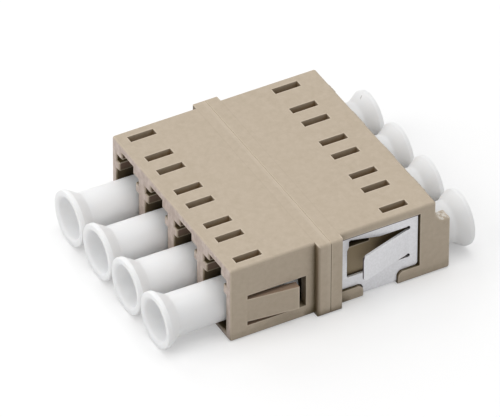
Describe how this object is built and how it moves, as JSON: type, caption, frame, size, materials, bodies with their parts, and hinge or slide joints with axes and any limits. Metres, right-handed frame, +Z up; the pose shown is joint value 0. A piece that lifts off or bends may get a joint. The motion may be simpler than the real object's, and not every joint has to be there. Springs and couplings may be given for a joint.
{
  "type": "lc fibre adapter",
  "caption": "Flanged adapter that joins LC fibre plugs end to end, with moulded side latches, a folded spring clip and pull-off dust caps.",
  "frame": {"origin": "middle of the welded seam of the flange, on the flat underside of the adapter", "axes": "+X across the row of ports, +Y along the optical axes from the latch half to the clip half, +Z up"},
  "size_m": [0.0286, 0.0356, 0.0091],
  "materials": {
    "housing": "beige moulded PBT, satin to matt",
    "clip": "cold-rolled spring stainless steel, fine grain",
    "sleeve": "ground zirconia ceramic, white",
    "cap": "white soft polyethylene, slightly translucent"
  },
  "bodies": {
    "adapter": {"front_housing": "housing", "rear_housing": "housing", "mounting_clip": "clip", "alignment_sleeve_1": "sleeve", "alignment_sleeve_2": "sleeve", "alignment_sleeve_3": "sleeve", "alignment_sleeve_4": "sleeve"},
    "front_cap_1": {"front_dust_cap_1": "cap"},
    "front_cap_2": {"front_dust_cap_2": "cap"},
    "front_cap_3": {"front_dust_cap_3": "cap"},
    "front_cap_4": {"front_dust_cap_4": "cap"},
    "rear_cap_1": {"rear_dust_cap_1": "cap"},
    "rear_cap_2": {"rear_dust_cap_2": "cap"},
    "rear_cap_3": {"rear_dust_cap_3": "cap"},
    "rear_cap_4": {"rear_dust_cap_4": "cap"}
  },
  "joints": [
    {"name": "front_cap_1_pull", "type": "slide", "parent": "adapter", "child": "front_cap_1", "axis": [0, -1, 0], "range_m": [-0.0007, 0.02]},
    {"name": "front_cap_2_pull", "type": "slide", "parent": "adapter", "child": "front_cap_2", "axis": [0, -1, 0], "range_m": [-0.0007, 0.02]},
    {"name": "front_cap_3_pull", "type": "slide", "parent": "adapter", "child": "front_cap_3", "axis": [0, -1, 0], "range_m": [-0.0007, 0.02]},
    {"name": "front_cap_4_pull", "type": "slide", "parent": "adapter", "child": "front_cap_4", "axis": [0, -1, 0], "range_m": [-0.0007, 0.02]},
    {"name": "rear_cap_1_pull", "type": "slide", "parent": "adapter", "child": "rear_cap_1", "axis": [0, 1, 0], "range_m": [-0.00015, 0.02]},
    {"name": "rear_cap_2_pull", "type": "slide", "parent": "adapter", "child": "rear_cap_2", "axis": [0, 1, 0], "range_m": [-0.00015, 0.02]},
    {"name": "rear_cap_3_pull", "type": "slide", "parent": "adapter", "child": "rear_cap_3", "axis": [0, 1, 0], "range_m": [-0.00015, 0.02]},
    {"name": "rear_cap_4_pull", "type": "slide", "parent": "adapter", "child": "rear_cap_4", "axis": [0, 1, 0], "range_m": [-0.00015, 0.02]}
  ]
}
